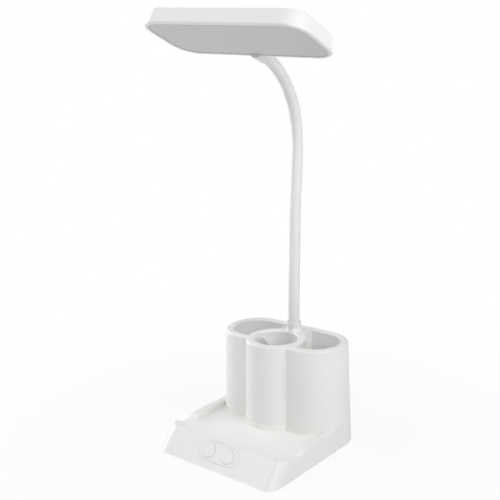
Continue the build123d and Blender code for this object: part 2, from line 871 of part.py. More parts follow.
def make_led_board():
    """The strip board along the head's rear wall."""
    width = diffuser_width - 2 * led_board_inset
    board = slab(width, led_board_thickness, guide_plate_bottom - diffuser_top)
    return head_frame() * Pos(0, -diffuser_ledge - led_board_thickness / 2, diffuser_top) * board


def make_leds():
    """The row of LEDs that face the light guide's edge."""
    pitch = (diffuser_width - 2 * led_board_inset) / led_count
    y = -diffuser_ledge - led_board_thickness - led_thickness / 2
    z = diffuser_top + guide_thickness / 2
    chip = Box(led_width, led_thickness, led_height)
    places = [(index - (led_count - 1) / 2) * pitch for index in range(led_count)]
    return [head_frame() * Pos(x, y, z) * chip for x in places]


def make_head_screws():
    """The screws that hold the guide plate, heads sunk in it."""
    screw = make_screw(head_screw_radius, head_screw_length, head_screw_head_radius, head_screw_head_height)
    level = guide_plate_bottom + head_screw_head_height
    return [head_frame() * Pos(x, y, level) * screw for x, y in head_post_sites()]


# ---- nodes --------------------------------------------------------------------------
def base_nodes():
    """The base's nodes: mouldings, weight, power, panel and sharpener."""
    return {
        "housing": make_housing(),
        "left_cup": make_side_cup(-1),
        "centre_cup": make_centre_cup(),
        "right_cup": make_side_cup(1),
        "base_plate": make_base_plate(),
        "rubber_feet": make_rubber_feet(),
        "base_screws": make_base_screws(),
        "ballast": make_ballast(),
        "battery_cell": make_cell(),
        "cell_cradle": make_cell_cradle(),
        "cell_contacts": make_cell_contacts(),
        "charge_board": make_charge_board(),
        "charge_socket": make_charge_socket(),
        "button_panel": make_button_panel(),
        "left_button": make_button(button_sites[0]),
        "right_button": make_button(button_sites[1]),
        "button_switches": make_switches(),
        "control_board": make_control_board(),
        "board_screws": make_board_screws(),
        "sharpener_body": make_sharpener_body(),
        "sharpener_blade": make_sharpener_blade(),
        "sharpener_screw": make_sharpener_screw(),
    }


def neck_nodes():
    """The neck's nodes: the core's lengths from the root up, and what is round them."""
    names = ["neck_core_root"]
    names += ["neck_core_" + str(index) for index in range(1, link_count)]
    names += ["neck_core_head"]
    nodes = {name: make_neck_core(index) for index, name in enumerate(names)}
    nodes["neck_sleeve"] = make_neck_sleeve()
    nodes["neck_lead"] = make_neck_lead()
    nodes["neck_ferrule"] = make_ferrule()
    nodes["neck_washer"] = make_neck_washer()
    nodes["neck_collar"] = make_neck_collar()
    return nodes


def head_nodes():
    """The head's nodes."""
    return {
        "head_housing": make_head_housing(),
        "head_clamp": make_head_clamp(),
        "diffuser": make_diffuser(),
        "light_guide": make_light_guide(),
        "reflector": make_reflector(),
        "guide_plate": make_guide_plate(),
        "led_board": make_led_board(),
        "leds": make_leds(),
        "head_screws": make_head_screws(),
    }


def write_nodes():
    """Write each node to its own STEP file."""
    os.makedirs("parts", exist_ok=True)
    for name, shape in (base_nodes() | neck_nodes() | head_nodes()).items():
        solid = Compound(children=shape) if isinstance(shape, list) else shape
        export_step(solid, "parts/" + name + ".step")


write_nodes()
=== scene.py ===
"""Looks of a white desk lamp with an organiser base, built round its packed construction.

Lengths are metres, +Z is up and +Y is to the rear. The origin is on the table under the base.
"""

import json
import logging
import math
from collections.abc import Iterable
from dataclasses import dataclass, replace
from enum import Enum

import bmesh
import bpy
from mathutils import Matrix, Vector

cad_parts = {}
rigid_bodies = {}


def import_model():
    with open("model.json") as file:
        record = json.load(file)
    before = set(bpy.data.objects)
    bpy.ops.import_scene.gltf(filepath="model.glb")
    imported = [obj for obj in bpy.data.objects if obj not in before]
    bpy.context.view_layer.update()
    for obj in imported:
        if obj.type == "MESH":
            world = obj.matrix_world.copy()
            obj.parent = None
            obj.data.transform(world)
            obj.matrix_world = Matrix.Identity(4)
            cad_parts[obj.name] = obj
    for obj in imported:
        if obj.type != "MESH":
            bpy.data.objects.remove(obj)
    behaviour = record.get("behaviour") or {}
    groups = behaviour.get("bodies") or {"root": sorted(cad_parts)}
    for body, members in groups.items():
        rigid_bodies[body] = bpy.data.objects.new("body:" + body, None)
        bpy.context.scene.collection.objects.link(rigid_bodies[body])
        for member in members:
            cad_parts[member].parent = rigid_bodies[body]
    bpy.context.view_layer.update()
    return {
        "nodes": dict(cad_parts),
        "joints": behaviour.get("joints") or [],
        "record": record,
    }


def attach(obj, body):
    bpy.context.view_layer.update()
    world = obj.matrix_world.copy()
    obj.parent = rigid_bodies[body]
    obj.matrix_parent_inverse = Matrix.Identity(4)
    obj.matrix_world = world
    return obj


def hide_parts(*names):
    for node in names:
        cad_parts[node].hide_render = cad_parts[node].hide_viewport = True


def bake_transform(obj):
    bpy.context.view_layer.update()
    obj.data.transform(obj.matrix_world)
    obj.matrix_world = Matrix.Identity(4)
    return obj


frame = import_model()

LOG = logging.getLogger("desk_lamp")
LEAST_ROUGHNESS = 0.02
MERGE_DISTANCE = 1e-7
LEAST_TURN = 1e-9
Colour = tuple[float, float, float]
Point = tuple[float, float, float]


# ---- choices ------------------------------------------------------------------------
class Slot(Enum):
    """Material slots of the part's record."""

    WHITE_PLASTIC = "white_plastic"
    GREY_PLASTIC = "grey_plastic"
    SLEEVE = "sleeve"
    RUBBER = "rubber"
    DIFFUSER = "diffuser"
    CLEAR_PLASTIC = "clear_plastic"
    FILM = "film"
    BOARD = "board"
    LEAD = "lead"
    STEEL = "steel"
    CELL = "cell"
    SWITCH = "switch"


class Lay(Enum):
    """Which way a finish's fine grain is drawn out, as a stretch along X, Y and Z."""

    EVEN = (1.0, 1.0, 1.0)
    ACROSS = (24.0, 1.0, 1.0)
    UPRIGHT = (1.0, 1.0, 24.0)


# ---- node trees ---------------------------------------------------------------------
class Sheet:
    """A node tree under construction."""

    def __init__(self, tree: bpy.types.NodeTree) -> None:
        """Keep the tree.

        Args:
            tree: The shader or geometry tree to add to.
        """
        self.tree = tree

    def add(self, kind: str, **settings: object) -> bpy.types.Node:
        """Add a node.

        Args:
            kind: The node's type name.
            **settings: Properties to set on it.

        Returns:
            The new node.
        """
        node = self.tree.nodes.new(kind)
        for name, value in settings.items():
            setattr(node, name, value)
        return node

    def feed(self, socket: bpy.types.NodeSocket, value: object) -> None:
        """Give an input its value.

        Args:
            socket: The input.
            value: A socket to link from, or a plain value.
        """
        if isinstance(value, bpy.types.NodeSocket):
            self.tree.links.new(value, socket)
        else:
            socket.default_value = value

    def math(self, operation: str, *operands: object) -> bpy.types.NodeSocket:
        """Add a Math node.

        Args:
            operation: The Math node's operation.
            *operands: Sockets or numbers, in order.

        Returns:
            The result's socket.
        """
        node = self.add("ShaderNodeMath", operation=operation)
        for socket, value in zip(node.inputs, operands):
            self.feed(socket, value)
        return node.outputs[0]

    def vector(self, operation: str, first: object, second: object) -> bpy.types.NodeSocket:
        """Add a Vector Math node with two operands.

        Args:
            operation: The Vector Math node's operation.
            first: The first vector.
            second: The second vector, or the factor of SCALE.

        Returns:
            The resulting vector's socket.
        """
        node = self.add("ShaderNodeVectorMath", operation=operation)
        self.feed(node.inputs[0], first)
        self.feed(node.inputs["Scale"] if operation == "SCALE" else node.inputs[1], second)
        return node.outputs[0]

    def mix(self, share: object, first: object, second: object) -> bpy.types.NodeSocket:
        """Mix two colours.

        Args:
            share: How much of the second colour shows.
            first: The first colour.
            second: The second colour.

        Returns:
            The mixed colour's socket.
        """
        node = self.add("ShaderNodeMix", data_type="RGBA")
        self.feed(node.inputs["Factor"], share)
        self.feed(node.inputs[6], first)
        self.feed(node.inputs[7], second)
        return node.outputs[2]


def declare(tree: bpy.types.NodeTree, direction: str, kind: str, *names: str) -> None:
    """Add sockets of one kind to a tree's interface.

    Args:
        tree: The tree.
        direction: INPUT or OUTPUT.
        kind: The sockets' type name.
        *names: The sockets' names.
    """
    for name in names:
        tree.interface.new_socket(name=name, in_out=direction, socket_type=kind)


def opaque(colour: Colour) -> tuple[float, float, float, float]:
    """A colour with full alpha."""
    return (*colour, 1.0)


def surface_variation() -> bpy.types.NodeTree:
    """Make the group that varies a finish over a surface: broad tone, fine grain and gloss.

    Returns:
        The shader group.
    """
    tree = bpy.data.node_groups.new("surface_variation", "ShaderNodeTree")
    declare(tree, "INPUT", "NodeSocketColor", "Colour")
    declare(tree, "INPUT", "NodeSocketFloat", "Tone Spread", "Roughness", "Gloss Spread")
    declare(tree, "INPUT", "NodeSocketFloat", "Patch Size", "Grain Size")
    declare(tree, "INPUT", "NodeSocketVector", "Stretch")
    declare(tree, "OUTPUT", "NodeSocketColor", "Colour")
    declare(tree, "OUTPUT", "NodeSocketFloat", "Roughness", "Height")
    sheet = Sheet(tree)
    given = sheet.add("NodeGroupInput").outputs
    result = sheet.add("NodeGroupOutput").inputs
    place = sheet.add("ShaderNodeTexCoord").outputs["Object"]
    drawn = sheet.vector("DIVIDE", place, given["Stretch"])
    fields = []
    for size, detail in (("Patch Size", 3.0), ("Grain Size", 2.0)):
        noise = sheet.add("ShaderNodeTexNoise")
        noise.inputs["Detail"].default_value = detail
        sheet.feed(noise.inputs["Vector"], drawn)
        sheet.feed(noise.inputs["Scale"], sheet.math("DIVIDE", 1.0, given[size]))
        fields.append(sheet.math("MULTIPLY_ADD", noise.outputs[0], 2.0, -1.0))
    patches, grain = fields
    tone = sheet.math("MULTIPLY_ADD", patches, given["Tone Spread"], 1.0)
    sheet.feed(result["Colour"], sheet.vector("SCALE", given["Colour"], tone))
    gloss = sheet.math("ADD", patches, grain)
    rough = sheet.math("MULTIPLY_ADD", gloss, given["Gloss Spread"], given["Roughness"])
    sheet.feed(result["Roughness"], sheet.math("MAXIMUM", rough, LEAST_ROUGHNESS))
    sheet.feed(result["Height"], grain)
    return tree


# ---- finishes -----------------------------------------------------------------------
@dataclass(frozen=True)
class Finish:
    """One surface finish.

    Attributes:
        name: The material's name.
        colour: Base colour, linear.
        roughness: Mean roughness.
        tone_spread: Relative change of brightness over the surface.
        gloss_spread: Change of roughness over the surface.
        patch_size: Size of the broad patches, in metres.
        grain_size: Size of the fine grain, in metres.
        grain_depth: Height of the fine grain, in metres.
        lay: Which way the grain is drawn out.
        metallic: Share of metal.
        coat: Weight of a clear coat.
        ior: Index of refraction.
        subsurface: Weight of light scattered under the surface.
        scatter: How far that light travels, in metres.
    """

    name: str
    colour: Colour
    roughness: float
    tone_spread: float = 0.02
    gloss_spread: float = 0.05
    patch_size: float = 0.030
    grain_size: float = 0.0012
    grain_depth: float = 0.000012
    lay: Lay = Lay.EVEN
    metallic: float = 0.0
    coat: float = 0.0
    ior: float = 1.47
    subsurface: float = 0.0
    scatter: float = 0.002

    def material(self, variation: bpy.types.NodeTree) -> bpy.types.Material:
        """Build the finish's material.

        Args:
            variation: The shared group that varies a finish over the surface.

        Returns:
            The material.
        """
        made = bpy.data.materials.new(self.name)
        made.use_nodes = True
        sheet = Sheet(made.node_tree)
        shader = made.node_tree.nodes["Principled BSDF"]
        group = sheet.add("ShaderNodeGroup", node_tree=variation)
        for name, value in (
            ("Colour", opaque(self.colour)), ("Tone Spread", self.tone_spread),
            ("Roughness", self.roughness), ("Gloss Spread", self.gloss_spread),
            ("Patch Size", self.patch_size), ("Grain Size", self.grain_size),
            ("Stretch", self.lay.value),
        ):
            sheet.feed(group.inputs[name], value)
        sheet.feed(shader.inputs["Base Color"], self.paint(sheet, group.outputs["Colour"]))
        sheet.feed(shader.inputs["Roughness"], group.outputs["Roughness"])
        bump = sheet.add("ShaderNodeBump")
        bump.inputs["Distance"].default_value = self.grain_depth
        sheet.feed(bump.inputs["Height"], group.outputs["Height"])
        sheet.feed(shader.inputs["Normal"], bump.outputs["Normal"])
        for name, value in (
            ("Metallic", self.metallic), ("Coat Weight", self.coat), ("IOR", self.ior),
            ("Subsurface Weight", self.subsurface), ("Subsurface Scale", self.scatter),
            ("Subsurface Radius", (1.0, 1.0, 1.0)),
        ):
            sheet.feed(shader.inputs[name], value)
        return made

    def paint(self, sheet: Sheet, base: bpy.types.NodeSocket) -> bpy.types.NodeSocket:
        """Draw the finish's own pattern over its base colour.

        Args:
            sheet: The material's tree.
            base: The varied base colour.

        Returns:
            The colour that the shader takes.
        """
        return base


@dataclass(frozen=True)
class BoardFinish(Finish):
    """Lacquered circuit board, with its tracks seen as a lighter tone.

    Attributes:
        track: Colour over a track.
        track_pitch: Length of a stretch of track, in metres.
        track_width: Width of a track as a share of that length.
    """

    track: Colour = (0.07, 0.30, 0.12)
    track_pitch: float = 0.006
    track_width: float = 0.035

    def paint(self, sheet: Sheet, base: bpy.types.NodeSocket) -> bpy.types.NodeSocket:
        """Lay tracks over the board.

        Args:
            sheet: The material's tree.
            base: The varied base colour.

        Returns:
            The colour with its tracks.
        """
        bricks = sheet.add("ShaderNodeTexBrick")
        sheet.feed(bricks.inputs["Vector"], sheet.add("ShaderNodeTexCoord").outputs["Object"])
        bricks.inputs["Scale"].default_value = 1 / self.track_pitch
        bricks.inputs["Mortar Size"].default_value = self.track_width
        return sheet.mix(bricks.outputs["Fac"], base, opaque(self.track))


@dataclass(frozen=True)
class DottedFinish(Finish):
    """Clear plate printed with white dots that send the light out.

    Attributes:
        dot: Colour of the dots.
        dot_pitch: Distance from dot to dot, in metres.
        dot_radius: Radius of a dot as a share of the pitch.
    """

    dot: Colour = (0.85, 0.85, 0.85)
    dot_pitch: float = 0.0016
    dot_radius: float = 0.28

    def paint(self, sheet: Sheet, base: bpy.types.NodeSocket) -> bpy.types.NodeSocket:
        """Print the dots.

        Args:
            sheet: The material's tree.
            base: The varied base colour.

        Returns:
            The colour with its dots.
        """
        cells = sheet.add("ShaderNodeTexVoronoi")
        cells.inputs["Randomness"].default_value = 0.0
        cells.inputs["Scale"].default_value = 1 / self.dot_pitch
        sheet.feed(cells.inputs["Vector"], sheet.add("ShaderNodeTexCoord").outputs["Object"])
        inside = sheet.math("LESS_THAN", cells.outputs["Distance"], self.dot_radius)
        return sheet.mix(inside, base, opaque(self.dot))


FINISHES = {
    Slot.WHITE_PLASTIC: Finish("satin_white_moulding", (0.875, 0.87, 0.86), 0.36, subsurface=0.08),
    Slot.GREY_PLASTIC: Finish("matt_grey_moulding", (0.60, 0.60, 0.61), 0.55),
    Slot.SLEEVE: Finish(
        "smooth_neck_sleeve", (0.84, 0.84, 0.85), 0.44, subsurface=0.12, grain_size=0.0008),
    Slot.RUBBER: Finish("soft_foot_rubber", (0.035, 0.035, 0.036), 0.8, grain_depth=0.00003),
    Slot.DIFFUSER: Finish(
        "opal_diffuser", (0.57, 0.575, 0.565), 0.30, tone_spread=0.04, subsurface=0.25, scatter=0.004,
        patch_size=0.012, lay=Lay.ACROSS),
    Slot.CLEAR_PLASTIC: DottedFinish("dotted_light_guide", (0.80, 0.83, 0.84), 0.08, ior=1.49),
    Slot.FILM: Finish("white_reflector_film", (0.90, 0.90, 0.88), 0.5),
    Slot.BOARD: BoardFinish("green_circuit_board", (0.03, 0.16, 0.06), 0.35, coat=0.4),
    Slot.LEAD: Finish("black_lead_jacket", (0.02, 0.02, 0.02), 0.5),
    Slot.STEEL: Finish(
        "drawn_steel", (0.58, 0.58, 0.59), 0.28, metallic=1.0, lay=Lay.UPRIGHT, grain_size=0.0003,
        grain_depth=0.000004, gloss_spread=0.12),
    Slot.CELL: Finish("cell_wrapper", (0.05, 0.16, 0.42), 0.3, coat=0.5, patch_size=0.012),
    Slot.SWITCH: Finish("black_switch_body", (0.03, 0.03, 0.03), 0.5),
}
PHOSPHOR = Finish("led_phosphor", (0.82, 0.70, 0.22), 0.45, tone_spread=0.06, patch_size=0.001)
BLADE_STEEL = Finish(
    "ground_blade_steel", (0.66, 0.66, 0.67), 0.2, metallic=1.0, lay=Lay.ACROSS,
    grain_size=0.0002, grain_depth=0.000003, gloss_spread=0.1)
OWN_FINISHES = {"leds": PHOSPHOR, "sharpener_blade": BLADE_STEEL}


class Workshop:
    """Holds each finish's material and dresses pieces with them."""

    def __init__(self) -> None:
        """Start with the shared group and no material."""
        self.variation = surface_variation()
        self.made: dict[str, bpy.types.Material] = {}

    def material(self, finish: Finish) -> bpy.types.Material:
        """Material of a finish, built at its first use.

        Args:
            finish: The finish.

        Returns:
            Its material.
        """
        if finish.name not in self.made:
            self.made[finish.name] = finish.material(self.variation)
        return self.made[finish.name]

    def dress(self, nodes: Iterable[str]) -> None:
        """Give construction nodes the finish of their slot, or their own.

        Args:
            nodes: The nodes' names.
        """
        slots = {row["node"]: Slot(row["material_slot"]) for row in frame["record"]["subparts"]}
        for node in nodes:
            finish = OWN_FINISHES.get(node, FINISHES[slots[node]])
            mesh = frame["nodes"][node].data
            mesh.materials.clear()
            mesh.materials.append(self.material(finish))
            LOG.info("node %s: %s", node, finish.name)


# ---- meshes -------------------------------------------------------------------------
def object_from(name: str, mesh: bpy.types.Mesh) -> bpy.types.Object:
    """Link a mesh to the scene as an object at the origin.

    Args:
        name: The object's name.
        mesh: Its mesh.

    Returns:
        The object.
    """
    made = bpy.data.objects.new(name, mesh)
    bpy.context.scene.collection.objects.link(made)
    return made


def tube_tree() -> bpy.types.NodeTree:
    """Make the tree that runs a round wall, or a rod, along a line of edges.

    Returns:
        The geometry tree, whose bore of zero gives a rod with closed ends.
    """
    tree = bpy.data.node_groups.new("tube_along_line", "GeometryNodeTree")
    declare(tree, "INPUT", "NodeSocketGeometry", "Line")
    declare(tree, "INPUT", "NodeSocketFloat", "Radius", "Bore")
    declare(tree, "INPUT", "NodeSocketInt", "Sides")
    declare(tree, "INPUT", "NodeSocketMaterial", "Finish")
    declare(tree, "OUTPUT", "NodeSocketGeometry", "Tube")
    sheet = Sheet(tree)
    given = sheet.add("NodeGroupInput").outputs
    path = sheet.add("GeometryNodeMeshToCurve")
    sheet.feed(path.inputs["Mesh"], given["Line"])
    bored = sheet.math("GREATER_THAN", given["Bore"], 0.0)
    walls = []
    for radius in ("Radius", "Bore"):
        ring = sheet.add("GeometryNodeCurvePrimitiveCircle")
        sheet.feed(ring.inputs["Resolution"], given["Sides"])
        sheet.feed(ring.inputs["Radius"], given[radius])
        wall = sheet.add("GeometryNodeCurveToMesh")
        sheet.feed(wall.inputs["Curve"], path.outputs["Curve"])
        sheet.feed(wall.inputs["Profile Curve"], ring.outputs["Curve"])
        walls.append(wall)
    outer, inner = walls
    sheet.feed(outer.inputs["Fill Caps"], sheet.math("SUBTRACT", 1.0, bored))
    turned = sheet.add("GeometryNodeFlipFaces")
    sheet.feed(turned.inputs["Mesh"], inner.outputs["Mesh"])
    kept = sheet.add("GeometryNodeSwitch", input_type="GEOMETRY")
    sheet.feed(kept.inputs["Switch"], bored)
    sheet.feed(kept.inputs["True"], turned.outputs["Mesh"])
    joined = sheet.add("GeometryNodeJoinGeometry")
    sheet.feed(joined.inputs[0], outer.outputs["Mesh"])
    sheet.feed(joined.inputs[0], kept.outputs["Output"])
    real = sheet.add("GeometryNodeRealizeInstances")
    sheet.feed(real.inputs["Geometry"], joined.outputs["Geometry"])
    finish = sheet.add("GeometryNodeSetMaterial")
    sheet.feed(finish.inputs["Geometry"], real.outputs["Geometry"])
    sheet.feed(finish.inputs["Material"], given["Finish"])
    sheet.feed(sheet.add("NodeGroupOutput").inputs["Tube"], finish.outputs["Geometry"])
    return tree


def grown(name: str, seed: bpy.types.Mesh, tree: bpy.types.NodeTree, **sizes: object) -> bpy.types.Mesh:
    """Run a geometry tree on a mesh and keep the plain result.

    Args:
        name: Name of the resulting mesh.
        seed: The mesh that the tree starts from.
        tree: The geometry tree.
        **sizes: Values of the tree's inputs, by name.

    Returns:
        The resulting mesh, with no modifier.
    """
    carrier = object_from(name + "_seed", seed)
    modifier = carrier.modifiers.new(tree.name, "NODES")
    modifier.node_group = tree
    for item in tree.interface.items_tree:
        if item.in_out == "INPUT" and item.name in sizes:
            modifier[item.identifier] = sizes[item.name]
    graph = bpy.context.evaluated_depsgraph_get()
    mesh = bpy.data.meshes.new_from_object(carrier.evaluated_get(graph), depsgraph=graph)
    mesh.name = name
    bpy.data.objects.remove(carrier)
    bpy.data.meshes.remove(seed)
    return mesh


def close_and_smooth(mesh: bpy.types.Mesh, crease: float = math.radians(35)) -> None:
    """Merge a tube's doubles, bridge its open ends, and shade it smooth but for its creases.

    Args:
        mesh: The mesh, changed in place.
        crease: Faces that meet at a larger angle keep a sharp edge.
    """
    work = bmesh.new()
    work.from_mesh(mesh)
    bmesh.ops.remove_doubles(work, verts=work.verts, dist=MERGE_DISTANCE)
    rims = rims_of([edge for edge in work.edges if edge.is_boundary])
    for rim in rims:
        near = min((other for other in rims if other is not rim), key=lambda other: gap(rim, other))
        if rim[0].is_boundary and near[0].is_boundary:
            bmesh.ops.bridge_loops(work, edges=rim + near)
    bmesh.ops.recalc_face_normals(work, faces=work.faces)
    for face in work.faces:
        face.smooth = True
    work.to_mesh(mesh)
    work.free()
    mesh.set_sharp_from_angle(angle=crease)


def rims_of(edges: list[bmesh.types.BMEdge]) -> list[list[bmesh.types.BMEdge]]:
    """Sort boundary edges into closed rims.

    Args:
        edges: The boundary edges.

    Returns:
        One list of edges for each rim.
    """
    left = set(edges)
    rims = []
    while left:
        rim = [left.pop()]
        for edge in rim:
            for vertex in edge.verts:
                found = [other for other in vertex.link_edges if other in left]
                left.difference_update(found)
                rim.extend(found)
        rims.append(rim)
    return rims


def gap(first: list[bmesh.types.BMEdge], second: list[bmesh.types.BMEdge]) -> float:
    """Distance between the centres of two rims."""
    centres = []
    for rim in (first, second):
        total = sum((vertex.co for edge in rim for vertex in edge.verts), Vector())
        centres.append(total / (2 * len(rim)))
    return (centres[0] - centres[1]).length


# ---- neck ---------------------------------------------------------------------------
@dataclass(frozen=True)
class Tubing:
    """One tube, or rod, that runs the whole length of the neck.

    Attributes:
        node: The construction node that its pieces stand for.
        slot: Material slot that gives its finish.
        radius: Outer radius.
        bore: Bore radius, zero for a rod.
        drop: How far it reaches below the first joint.
        rise: How far it reaches past the neck's end.
    """

    node: str
    slot: Slot
    radius: float
    bore: float
    drop: float
    rise: float


@dataclass
class Neck:
    """The flexible neck: a smooth sleeve with the lead inside, cut midway between the joints.

    A length that bends comes loose at one joint when the whole neck is bent to its limit. Two
    stiff lengths that lap take its place there.

    Attributes:
        shop: The workshop that dresses it.
        sleeve_radius: Outer radius of the sleeve.
        sleeve_bore: Bore radius of the sleeve.
        lead_radius: Radius of the lead.
        link_length: Length of centre line from joint to joint.
        last_turn: Turn of the last length, in radians.
        sleeve_seat: How far the sleeve reaches below the first joint.
        sleeve_insertion: How far it reaches into the head's boss.
        lead_drop: How far the lead reaches below the first joint.
        lead_rise: How far it reaches past the neck's end.
        bend_reach: Distance on each side of a joint to the ends of a bent piece's bending stretch, which are
            worked out but not used.
        ring_step: Distance from ring to ring along the tubes.
        sides: Corners of a tube's section.
        lapped_joints: Joints where two stiff lengths lap in place of one that bends.
        lap: How far each of the two reaches past its joint.
        lap_play: How much thinner the upper one is.
    """

    shop: Workshop
    sleeve_radius: float = 0.0050
    sleeve_bore: float = 0.0035
    lead_radius: float = 0.0012
    link_length: float = 0.0306
    last_turn: float = math.radians(24.8)
    sleeve_seat: float = 0.006
    sleeve_insertion: float = 0.003
    lead_drop: float = 0.037
    lead_rise: float = 0.013
    bend_reach: float = 0.012
    ring_step: float = 0.0010
    sides: int = 64
    lapped_joints: tuple[str, ...] = ("neck_upper_bend_2",)
    lap: float = 0.0009
    lap_play: float = 0.00003

    def __post_init__(self) -> None:
        """Read the joints along the neck and the turn of each length between them."""
        self.joints = [joint for joint in frame["joints"] if joint["type"] == "hinge"]
        self.pivots = [Vector(joint["pos_m"]) for joint in self.joints]
        self.length = len(self.joints) * self.link_length
        self.turns: list[float] = []
        for first, last in zip(self.pivots, self.pivots[1:]):
            heading = math.atan2(first.y - last.y, last.z - first.z)
            self.turns.append(2 * (heading - sum(self.turns)))
        self.turns.append(self.last_turn)

    def point(self, distance: float) -> Vector:
        """Point of the centre line.

        Args:
            distance: Distance past the first joint, below zero under it.

        Returns:
            The point.
        """
        place = self.pivots[0].copy()
        lean = 0.0
        for turn in self.turns:
            step = min(distance, self.link_length)
            part = turn * step / self.link_length
            if step > 0:
                curved = abs(part) > LEAST_TURN
                chord = step * math.sin(part / 2) / (part / 2) if curved else step
                heading = lean + part / 2
                place += Vector((0, -math.sin(heading), math.cos(heading))) * chord
                lean += part
                distance -= step
        return place + Vector((0, -math.sin(lean), math.cos(lean))) * distance

    def line(self, start: float, end: float) -> bpy.types.Mesh:
        """The centre line between two distances, as a line of edges.

        Args:
            start: The first distance.
            end: The last distance.

        Returns:
            A mesh of edges.
        """
        count = max(2, round((end - start) / self.ring_step))
        points = [self.point(start + (end - start) * index / count) for index in range(count + 1)]
        mesh = bpy.data.meshes.new("centre_line")
        mesh.from_pydata(points, [(index, index + 1) for index in range(count)], [])
        return mesh

    def span(self, index: int, tubing: Tubing) -> tuple[float, float]:
        """Distances between which a piece runs.

        Args:
            index: The joint that the piece crosses.
            tubing: The tube that it is cut from.

        Returns:
            The start and the end.
        """
        start = -tubing.drop if index == 0 else (index - 0.5) * self.link_length
        last = index == len(self.joints) - 1
        return start, self.length + tubing.rise if last else (index + 0.5) * self.link_length

    def build(self) -> None:
        """Make the sleeve's and the lead's pieces, each across its joint."""
        self.tree = tube_tree()
        tubes = (
            Tubing("neck_sleeve", Slot.SLEEVE, self.sleeve_radius, self.sleeve_bore,
                   self.sleeve_seat, self.sleeve_insertion),
            Tubing("neck_lead", Slot.LEAD, self.lead_radius, 0.0, self.lead_drop, self.lead_rise),
        )
        for tubing in tubes:
            for index, joint in enumerate(self.joints):
                lapped = joint["name"] in self.lapped_joints
                cross = self.lapped_pair if lapped else self.bent_piece
                for piece in cross(tubing, index, joint):
                    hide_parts(tubing.node)

    def bent_piece(self, tubing: Tubing, index: int, joint: dict) -> tuple[bpy.types.Object, ...]:
        """Make the length that crosses a joint; the ends of its bending stretch are worked out but not used.

        Args:
            tubing: The tube that it is cut from.
            index: The joint's place along the neck.
            joint: The joint; not used.

        Returns:
            The piece alone.
        """
        piece = self.tube(f"{tubing.node}_part_{index + 1}", tubing, *self.span(index, tubing))
        centre = index * self.link_length
        below = self.sleeve_seat if index == 0 else self.bend_reach
        start, end = self.point(centre - below), self.point(centre + self.bend_reach)
        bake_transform(piece)
        return (piece,)

    def lapped_pair(self, tubing: Tubing, index: int, joint: dict) -> tuple[bpy.types.Object, ...]:
        """Make the two stiff lengths that lap at a joint.

        Args:
            tubing: The tube that they are cut from.
            index: The joint's place along the neck.
            joint: The joint.

        Returns:
            The lower and the upper piece.
        """
        name = f"{tubing.node}_part_{index + 1}"
        first, last = self.span(index, tubing)
        centre = index * self.link_length
        thinner = replace(tubing, radius=tubing.radius - self.lap_play)
        lower = self.tube(name + "_lower", tubing, first, centre + self.lap)
        upper = self.tube(name + "_upper", thinner, centre - self.lap, last)
        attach(lower, joint["parent"])
        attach(upper, joint["child"])
        return lower, upper

    def tube(self, name: str, tubing: Tubing, start: float, end: float) -> bpy.types.Object:
        """Make a length of a tube along the centre line.

        Args:
            name: The piece's name.
            tubing: The tube that it is cut from.
            start: Distance at which it starts.
            end: Distance at which it ends.

        Returns:
            The piece.
        """
        finish = self.shop.material(FINISHES[tubing.slot])
        mesh = grown(
            name, self.line(start, end), self.tree, Radius=tubing.radius, Bore=tubing.bore,
            Sides=self.sides, Finish=finish)
        close_and_smooth(mesh)
        LOG.info("piece %s: %d faces", name, len(mesh.polygons))
        return object_from(name, mesh)


# ---- whole construction -------------------------------------------------------------
@dataclass
class Casing:
    """One sub-assembly whose construction nodes show with a finish.

    Attributes:
        shop: The workshop that dresses it.
        bodies: The moving bodies that its nodes belong to.
        built_anew: Nodes that other pieces stand for.
    """

    shop: Workshop
    bodies: tuple[str, ...]
    built_anew: tuple[str, ...] = ("neck_sleeve", "neck_lead")

    def build(self) -> None:
        """Dress each of its nodes."""
        members = frame["record"]["behaviour"]["bodies"]
        for body in self.bodies:
            self.shop.dress(node for node in members[body] if node not in self.built_anew)


@dataclass
class Base(Casing):
    """The base: tray, cups, sharpener, buttons, and the cell and boards inside."""

    bodies: tuple[str, ...] = ("base", "left_button", "right_button")


class NeckCore(Casing):
    """The steel core of the neck, between the base and the head."""


@dataclass
class Head(Casing):
    """The head: housing, diffuser, light guide, LED board and the neck's clamp."""

    bodies: tuple[str, ...] = ("head",)


# ---- studio -------------------------------------------------------------------------
@dataclass(frozen=True)
class SoftBox:
    """A large square lamp.

    Attributes:
        name: The lamp's name.
        place: Its centre.
        aim: The point that it faces.
        side: Its side.
        power: Its power in watts.
    """

    name: str
    place: Point
    aim: Point
    side: float
    power: float

    def build(self) -> None:
        """Hang the lamp."""
        data = bpy.data.lights.new(self.name, "AREA")
        data.shape = "SQUARE"
        data.size = self.side
        data.energy = self.power
        lamp = bpy.data.objects.new(self.name, data)
        lamp.location = self.place
        toward = Vector(self.aim) - Vector(self.place)
        lamp.rotation_euler = toward.to_track_quat("-Z", "Y").to_euler()
        bpy.context.scene.collection.objects.link(lamp)


